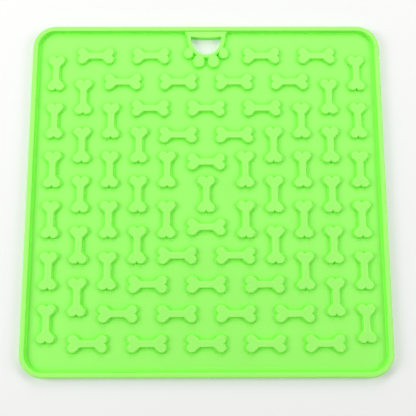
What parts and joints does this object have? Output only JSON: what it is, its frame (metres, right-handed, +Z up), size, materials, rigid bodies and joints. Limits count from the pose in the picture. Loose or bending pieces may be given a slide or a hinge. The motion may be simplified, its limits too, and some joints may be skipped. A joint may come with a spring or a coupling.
{
  "type": "lick mat",
  "caption": "Square one-piece silicone lick mat with a raised rim, bone-shaped ridges in four triangular fields and a paw whose heel pad is a hanging hole.",
  "frame": {"origin": "centre of the mat's flat underside, on the table", "axes": "+Z up, out of the tray; +Y towards the edge with the paw and the hanging hole; +X to the right with the hole at the far side"},
  "size_m": [0.2, 0.2, 0.0043],
  "materials": {
    "silicone": "satin moulded silicone"
  },
  "bodies": {
    "root": {"base_sheet": "silicone", "rim": "silicone", "hanger_pad": "silicone", "outer_left_toe": "silicone", "inner_left_toe": "silicone", "inner_right_toe": "silicone", "outer_right_toe": "silicone", "top_bone_row_1": "silicone", "top_bone_row_2": "silicone", "top_bone_row_3": "silicone", "top_bone_row_4": "silicone", "top_bone_row_5": "silicone", "bottom_bone_row_1": "silicone", "bottom_bone_row_2": "silicone", "bottom_bone_row_3": "silicone", "bottom_bone_row_4": "silicone", "bottom_bone_row_5": "silicone", "left_bone_column_1": "silicone", "left_bone_column_2": "silicone", "left_bone_column_3": "silicone", "left_bone_column_4": "silicone", "left_bone_column_5": "silicone", "right_bone_column_1": "silicone", "right_bone_column_2": "silicone", "right_bone_column_3": "silicone", "right_bone_column_4": "silicone", "right_bone_column_5": "silicone", "centre_bone": "silicone"}
  },
  "joints": []
}
